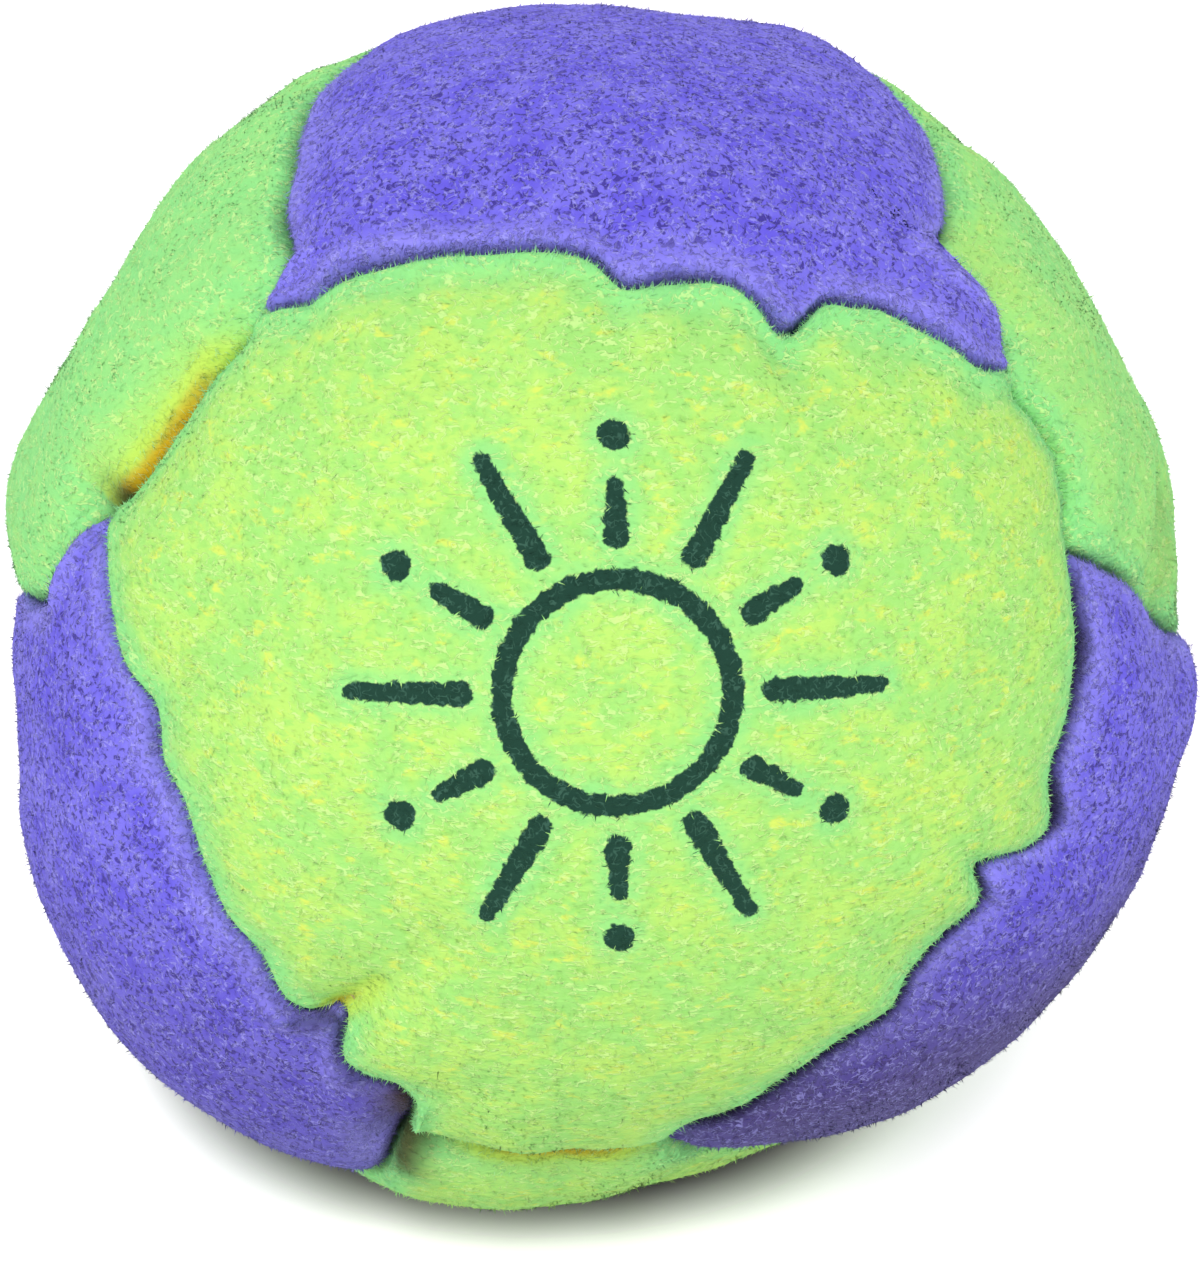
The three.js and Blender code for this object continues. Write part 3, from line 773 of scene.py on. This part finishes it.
def green_suede():
    nodes = Nodes("suede_green")
    shade = nodes.attribute("shade")
    ink = nodes.attribute("ink")
    mottle = nodes.between(nodes.noise(0.4, 4, 0.6, 0.5), 0.38, 0.62)
    colour = nodes.mix(mottle, LIME, YELLOW_LIME)
    gold = nodes.between(nodes.noise(1.3, 3, 0.6, 0.3, ALONG), 0.54, 0.7)
    colour = nodes.mix(nodes.math("MULTIPLY", gold, 0.75), colour, GOLD_LIME)
    deep = nodes.between(nodes.noise(2.2, 2, 0.5, 0.3, ALONG), 0.48, 0.36)
    colour = nodes.mix(nodes.math("MULTIPLY", deep, 0.6), colour, DEEP_LIME)
    # Painted shade colour: mint beside the seams, for the cooler light in their shade
    near = nodes.between(nodes.attribute("seam_mm"), *MINT_EDGE)
    beside_ink = nodes.math("MULTIPLY", nodes.between(ink, *MINT_ROUND_INK), 0.55)
    # Painted cool light: the rear panels turn mint as well
    mint = nodes.math("MAXIMUM", nodes.math("MULTIPLY", near, 0.85), nodes.attribute("cool_light"))
    colour = nodes.mix(nodes.math("MAXIMUM", mint, beside_ink), colour, MINT)
    pale = nodes.strokes(2.7, 0.065, ALONG)
    colour = nodes.mix(nodes.math("MULTIPLY", pale, 0.6), colour, PALE_LIME)
    # Painted shade towards the floor and on the shaded side
    colour = nodes.mix(nodes.math("MULTIPLY", nodes.attribute("low_shade"), 0.08), colour, SHADED_GREEN)
    glow = nodes.attribute("glow")
    colour = nodes.mix(nodes.between(glow, 0.0, YELLOW_GLOW), colour, GLOW_YELLOW)
    colour = nodes.mix(nodes.between(glow, YELLOW_GLOW, 1.0), colour, AMBER)
    # Beside the seams the paler fibres are mint, part of the painted cool shade
    fibre = nodes.mix(near, PALE_LIME, PALE_MINT)
    colour = nodes.mix(nodes.math("MULTIPLY", nodes.between(shade, 0.4, 1.0), 0.45), colour, fibre)
    # Painted shade, dark brown, in folds and pits
    colour = nodes.mix(nodes.attribute("pit_shade"), colour, PIT_SHADE_BROWN)
    worn = nodes.math("SUBTRACT", nodes.noise(2.6, 3, 0.6), 0.5)
    print_edge = nodes.math("ADD", ink, nodes.math("MULTIPLY", worn, INK_WEAR))
    inked = nodes.between(print_edge, *INK_EDGE)
    ink_fleck = nodes.math("MAXIMUM", nodes.strokes(3.0, 0.05), nodes.between(shade, 0.7, 1.0))
    colour = nodes.mix(inked, colour, nodes.mix(nodes.math("MULTIPLY", ink_fleck, 0.7), INK, PALE_INK))
    grain = nodes.math("ADD", nodes.noise(2.2, 2, 0.5, 0.3, ALONG), nodes.math("MULTIPLY", pale, 0.25))
    return finish_suede(nodes, colour, grain, 0.2, GREEN_SHEEN)


def purple_suede():
    nodes = Nodes("suede_purple")
    shade = nodes.attribute("shade")
    low_shade = nodes.attribute("low_shade")
    broad = nodes.between(nodes.noise(0.5, 3, 0.6, 0.4), 0.35, 0.65)
    colour = nodes.mix(nodes.math("MULTIPLY", broad, 0.3), VIOLET, PALE_VIOLET)
    dark = nodes.between(nodes.noise(3.6, 2, 0.55, 0.8), 0.47, 0.36)
    colour = nodes.mix(nodes.math("MULTIPLY", dark, 0.9), colour, NAVY)
    rubbed = nodes.attribute("rubbed")
    # Painted light: paler violet beside the seams, offsetting their dark gaps; with it, nap rubbed pale
    beside = nodes.between(nodes.attribute("seam_mm"), *PALE_EDGE)
    pale = nodes.math("MAXIMUM", rubbed, nodes.math("MULTIPLY", beside, 0.7))
    colour = nodes.mix(nodes.math("MULTIPLY", pale, 0.7), colour, PALE_VIOLET)
    # Painted shade: a darker, greyer purple towards the floor and on the shaded side
    colour = nodes.mix(nodes.math("MULTIPLY", low_shade, 0.9), colour, SHADED_PURPLE)
    light = nodes.strokes(3.2, 0.07)
    colour = nodes.mix(nodes.math("MULTIPLY", light, 0.45), colour, PALEST_VIOLET)
    # Where the painted shade lies, the nap's fibres are paler
    fibre = nodes.mix(low_shade, PALE_VIOLET, PALEST_VIOLET)
    colour = nodes.mix(nodes.math("MULTIPLY", nodes.between(shade, 0.45, 1.0), 0.5), colour, fibre)
    colour = nodes.mix(nodes.math("MULTIPLY", nodes.between(shade, 0.2, 0.0), 0.7), colour, NAVY)
    # Painted shade: dark navy beside the seams where their edges roll under
    colour = nodes.mix(nodes.attribute("line"), colour, SEAM_SHADE_NAVY)
    # Painted shade, dark brown, in folds and pits
    colour = nodes.mix(nodes.attribute("pit_shade"), colour, PIT_SHADE_BROWN)
    gaps = nodes.math("MULTIPLY", dark, -0.6)
    grain = nodes.math("ADD", gaps, nodes.math("MULTIPLY", light, 0.4))
    return finish_suede(nodes, colour, grain, 0.3, PURPLE_SHEEN)


def thread_material():
    nodes = Nodes("thread")
    strands = nodes.between(nodes.noise(6, 2), 0.3, 0.7)
    nodes.link(nodes.mix(strands, THREAD_COLOUR, PALE_THREAD), nodes.shader.inputs["Base Color"])
    nodes.shader.inputs["Roughness"].default_value = THREAD_ROUGHNESS
    return nodes.material


def sand_material():
    nodes = Nodes("sand")
    grains = nodes.between(nodes.noise(3, 3, 0.7), 0.3, 0.7)
    nodes.link(nodes.mix(grains, SAND_COLOUR, DARK_SAND), nodes.shader.inputs["Base Color"])
    nodes.shader.inputs["Roughness"].default_value = SAND_ROUGHNESS
    return nodes.material


def dress(name, material):
    node = bpy.data.objects[name]
    node.data.materials.clear()
    node.data.materials.append(material)


# The nap, its fringe beside the seams, and how it lies and scatters
NAP_PER_MM2 = 22
NAP_LENGTH = 0.3
NAP_WIDTH = 0.07
NAP_THICKNESS = 0.02
NAP_SINK = 0.015
FRINGE_REACH = 1.0
FRINGE_GAIN = 3.2
FRINGE_LENGTH = 0.4
FRINGE_NARROWS = 0.62
FRINGE_OUTWARD = 1.6
ASKEW = (0.3, 0.2, 1.0)
LAY_LENGTH = 14
LAY_WAVES = 28
LAY_SCATTER = 0.8
FLAT_SCATTER = 0.4
FACING_SCATTER = 0.12
RISE = (2, 13)
FRINGE_RISE = 17
LENGTH_SHARES = (0.55, 1.25)
MAP_HALF_WIDTH = 0.49


def nap_of(panel, points, directions, face_rings, seed):
    """Short fibres over a panel's face, each a thin closed spike, longer and denser beside the seams."""
    rng = np.random.default_rng(seed)
    n = (len(directions) - 1) // face_rings
    grid = points[1 : 1 + face_rings * n].reshape(face_rings, n, 3)
    depth = panel.insets(directions)[1][1:].reshape(face_rings, n)
    a, b = grid[:-1], grid[1:]
    c, e = np.roll(b, -1, axis=1), np.roll(a, -1, axis=1)
    normal = np.cross(b - a, e - a)
    area = np.linalg.norm(normal, axis=-1)
    near = np.exp(-((depth[:-1] / FRINGE_REACH) ** 2))
    wanted = area * (1 + (FRINGE_GAIN - 1) * near)
    pick = rng.choice(area.size, round(wanted.sum() * NAP_PER_MM2), p=(wanted / wanted.sum()).ravel())
    count = len(pick)
    row, col = np.unravel_index(pick, area.shape)
    u, v = rng.random((2, count, 1))
    near_side = a[row, col] * (1 - u) + b[row, col] * u
    far_side = e[row, col] * (1 - u) + c[row, col] * u
    root = near_side * (1 - v) + far_side * v
    up = unit(normal[row, col])
    fringe = near[row, col][:, None]
    lay = np.pi * waves(root, LAY_LENGTH, seed + 1, LAY_WAVES)[:, None]
    lay = lay + rng.normal(size=(count, 1)) * LAY_SCATTER
    east = unit(np.cross(ASKEW, up))
    drift = np.cos(lay) * east + np.sin(lay) * np.cross(up, east)
    outward = unit(b[row, col] - a[row, col])
    flat = drift * (1 - fringe) + outward * fringe * FRINGE_OUTWARD
    flat = unit(flat + rng.normal(size=(count, 3)) * FLAT_SCATTER)
    rise = np.radians(rng.uniform(*RISE, (count, 1)) + FRINGE_RISE * fringe)
    heading = unit(flat * np.cos(rise) + up * np.sin(rise))
    length = NAP_LENGTH + (FRINGE_LENGTH - NAP_LENGTH) * fringe
    length = length * rng.uniform(*LENGTH_SHARES, (count, 1))
    across = unit(np.cross(heading, up))
    third = np.cross(across, heading)
    foot = root - up * NAP_SINK
    half = NAP_WIDTH / 2 * (1 - FRINGE_NARROWS * fringe)
    corners = [foot + half * across, foot + NAP_THICKNESS * third, foot - half * across]
    spikes = np.stack([*corners, foot + heading * length], axis=1)
    spikes[..., 2] = np.maximum(spikes[..., 2], 0)
    facing = unit(up + FACING_SCATTER * rng.normal(size=(count, 3)))
    first = np.arange(count)[:, None] * 4
    faces = np.vstack([first + [0, 1, 2], first + [0, 3, 1], first + [1, 3, 2], first + [2, 3, 0]])
    way = unit(root - [0, 0, REST_HEIGHT])
    shade = np.repeat(rng.random(count), 4)
    return spikes.reshape(-1, 3), faces, np.repeat(way, 4, axis=0), shade, np.repeat(facing, 4, axis=0)


def lay_flat(made, points, panel):
    """A map for the nap's baked colours: its panel spread out flat from the middle."""
    way = unit(points - [0, 0, REST_HEIGHT])
    east = unit(np.cross(ASKEW, panel.middle))
    aside = np.c_[way @ east, way @ np.cross(panel.middle, east)]
    flat = unit(aside) * np.arccos(np.clip(way @ panel.middle, -1, 1))[:, None]
    flat = 0.5 + MAP_HALF_WIDTH * flat / np.abs(flat).max()
    corners = np.empty(len(made.data.loops), dtype=int)
    made.data.loops.foreach_get("vertex_index", corners)
    made.data.uv_layers.new(name="OFBake").data.foreach_set("uv", flat[corners].ravel())


def build_cover():
    suedes = {"green": green_suede(), "purple": purple_suede()}
    for seed, (name, (suede, corners)) in enumerate(PANELS.items(), 101):
        panel = Panel(name, suede, corners)
        points, faces, directions, face_rings = build_panel(panel)
        paint = paint_of(panel, directions, np.full(len(directions), CLOTH_SHADE))
        attributes = {key: padded_to(values, len(points), values[-1]) for key, values in paint.items()}
        made = add_object("suede_" + name, points, faces, attributes, suedes[suede])
        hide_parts(name)
        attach(made, "root")
        spikes, sides, ways, shade, facing = nap_of(panel, points, directions, face_rings, seed)
        nap = add_object("nap_" + name, spikes, sides, paint_of(panel, ways, shade), suedes[suede])
        nap.data.normals_split_custom_set_from_vertices(facing.tolist())
        lay_flat(nap, spikes, panel)
        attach(nap, "root")


def dress_inside():
    thread, sand = thread_material(), sand_material()
    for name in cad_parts:
        if "thread" in name:
            dress(name, thread)
        if name == "sand_fill":
            dress(name, sand)


# The stage
PHOTO_WIDTH, PHOTO_HEIGHT = 1200, 1261
BALL_CENTRE_PX = (600, 606)
SILHOUETTE_PX = 598
VIEW_DISTANCE = 5 * BALL_RADIUS
VIEW_ELEVATION = 30
SENSOR_MM = 36
CLIP_START = 0.01
FLOOR_SIZE = 4.0
FLOOR_GAP = 0.02
# The floor is painted dark round the ball, a painted shadow that fades to the floor's own colour between
# two reaches from a place beside the ball
FLOOR_PAINTED_SHADOW = (0.15, 0.1, 0.18, 1.0)
FLOOR_FAR = (1.0, 0.93, 1.0, 1.0)
PAINTED_SHADOW_PLACE = (-3.1, 6.1, 0)
PAINTED_SHADOW_REACH = 17.4
PAINTED_SHADOW_END = 22.8
FLOOR_GLOW = 0.5
FLOOR_BOUNCE = 0.8
SKY_STRENGTH = 0.38
SKY_COLOUR = (0.93, 0.97, 1, 1)
WHITE = (1, 1, 1)
WARM_WHITE = (1, 0.99, 0.98)
LAMP_DISTANCE = 0.5

# Lamps: azimuth and elevation, size across in metres, power in watts, and colour
LAMPS = {
    "key": (-3, 49, 0.14, 1.36, WARM_WHITE),
    "left_fill": (-75, 10, 0.2, 0.52, WHITE),
    "right_fill": (75, 12, 0.2, 0.4, WHITE),
    "low_fill": (-5, 2, 0.2, 0.3, WHITE),
    "rear_fill": (180, 35, 0.3, 0.8, WHITE),
}


def add_camera():
    focal_px = SILHOUETTE_PX * np.sqrt(VIEW_DISTANCE**2 / BALL_RADIUS**2 - 1)
    data = bpy.data.cameras.new("camera")
    data.sensor_width = SENSOR_MM
    data.lens = focal_px * SENSOR_MM / PHOTO_HEIGHT
    data.shift_x = (PHOTO_WIDTH / 2 - BALL_CENTRE_PX[0]) / PHOTO_HEIGHT
    data.shift_y = -(PHOTO_HEIGHT / 2 - BALL_CENTRE_PX[1]) / PHOTO_HEIGHT
    data.clip_start = CLIP_START
    camera = bpy.data.objects.new("camera", data)
    bpy.context.collection.objects.link(camera)
    offset = direction(0, VIEW_ELEVATION) * VIEW_DISTANCE
    camera.location = (np.array([0, 0, REST_HEIGHT]) + offset) * MM
    camera.rotation_euler = (np.radians(90 - VIEW_ELEVATION), 0, 0)
    bpy.context.scene.camera = camera


def add_lamp(name, azimuth, elevation, size, power, colour):
    data = bpy.data.lights.new(name, "AREA")
    data.shape = "DISK"
    data.size = size
    data.energy = power
    data.color = colour
    lamp = bpy.data.objects.new(name, data)
    bpy.context.collection.objects.link(lamp)
    away = Vector(direction(azimuth, elevation))
    lamp.location = away * LAMP_DISTANCE + Vector((0, 0, REST_HEIGHT * MM))
    lamp.rotation_euler = away.to_track_quat("Z", "Y").to_euler()


def seen_white(tree):
    """1 for the camera's rays and those that a shiny or clear surface sends on, else 0."""
    rays = tree.nodes.new("ShaderNodeLightPath").outputs
    shown = rays["Is Camera Ray"]
    for kind in ("Is Glossy Ray", "Is Transmission Ray"):
        either = tree.nodes.new("ShaderNodeMath")
        either.operation = "MAXIMUM"
        tree.links.new(shown, either.inputs[0])
        tree.links.new(rays[kind], either.inputs[1])
        shown = either.outputs[0]
    return shown


def add_floor():
    nodes = Nodes("floor")
    shown = nodes.add("ShaderNodeBsdfDiffuse")
    # Painted shadow: the floor darkens, and loses its glow, towards a place under the ball
    off = nodes.add("ShaderNodeVectorMath", operation="DISTANCE")
    nodes.link(nodes.add("ShaderNodeTexCoord").outputs["Object"], off.inputs[0])
    off.inputs[1].default_value = [at * MM for at in PAINTED_SHADOW_PLACE]
    far = nodes.between(off.outputs["Value"], PAINTED_SHADOW_REACH * MM, PAINTED_SHADOW_END * MM)
    nodes.link(nodes.mix(far, FLOOR_PAINTED_SHADOW, FLOOR_FAR), shown.inputs["Color"])
    glow = nodes.add("ShaderNodeEmission")
    nodes.link(nodes.math("MULTIPLY", far, FLOOR_GLOW), glow.inputs["Strength"])
    both = nodes.add("ShaderNodeAddShader")
    nodes.link(shown.outputs[0], both.inputs[0])
    nodes.link(glow.outputs[0], both.inputs[1])
    bounce = nodes.add("ShaderNodeBsdfDiffuse")
    bounce.inputs["Color"].default_value = (*[FLOOR_BOUNCE] * 3, 1)
    seen = nodes.add("ShaderNodeMixShader")
    nodes.link(seen_white(nodes.tree), seen.inputs[0])
    nodes.link(bounce.outputs[0], seen.inputs[1])
    nodes.link(both.outputs[0], seen.inputs[2])
    nodes.link(seen.outputs[0], nodes.tree.nodes["Material Output"].inputs["Surface"])
    half = FLOOR_SIZE / 2
    mesh = bpy.data.meshes.new("floor")
    square = [(-half, -half, 0), (half, -half, 0), (half, half, 0), (-half, half, 0)]
    mesh.from_pydata(square, [], [(0, 1, 2, 3)])
    mesh.materials.append(nodes.material)
    floor = bpy.data.objects.new("floor", mesh)
    floor.location.z = -FLOOR_GAP * MM
    bpy.context.collection.objects.link(floor)


def add_world():
    world = bpy.data.worlds.new("world")
    world.use_nodes = True
    tree = world.node_tree
    background = tree.nodes["Background"]
    background.inputs["Strength"].default_value = SKY_STRENGTH
    white = tree.nodes.new("ShaderNodeBackground")
    white.inputs["Color"].default_value = (*WHITE, 1)
    background.inputs["Color"].default_value = SKY_COLOUR
    seen = tree.nodes.new("ShaderNodeMixShader")
    tree.links.new(seen_white(tree), seen.inputs[0])
    tree.links.new(background.outputs[0], seen.inputs[1])
    tree.links.new(white.outputs[0], seen.inputs[2])
    tree.links.new(seen.outputs[0], tree.nodes["World Output"].inputs["Surface"])
    bpy.context.scene.world = world


add_camera()
build_cover()
dress_inside()
add_floor()
add_world()
for name, values in LAMPS.items():
    add_lamp(name, *values)
bpy.context.scene.view_settings.view_transform = "Standard"
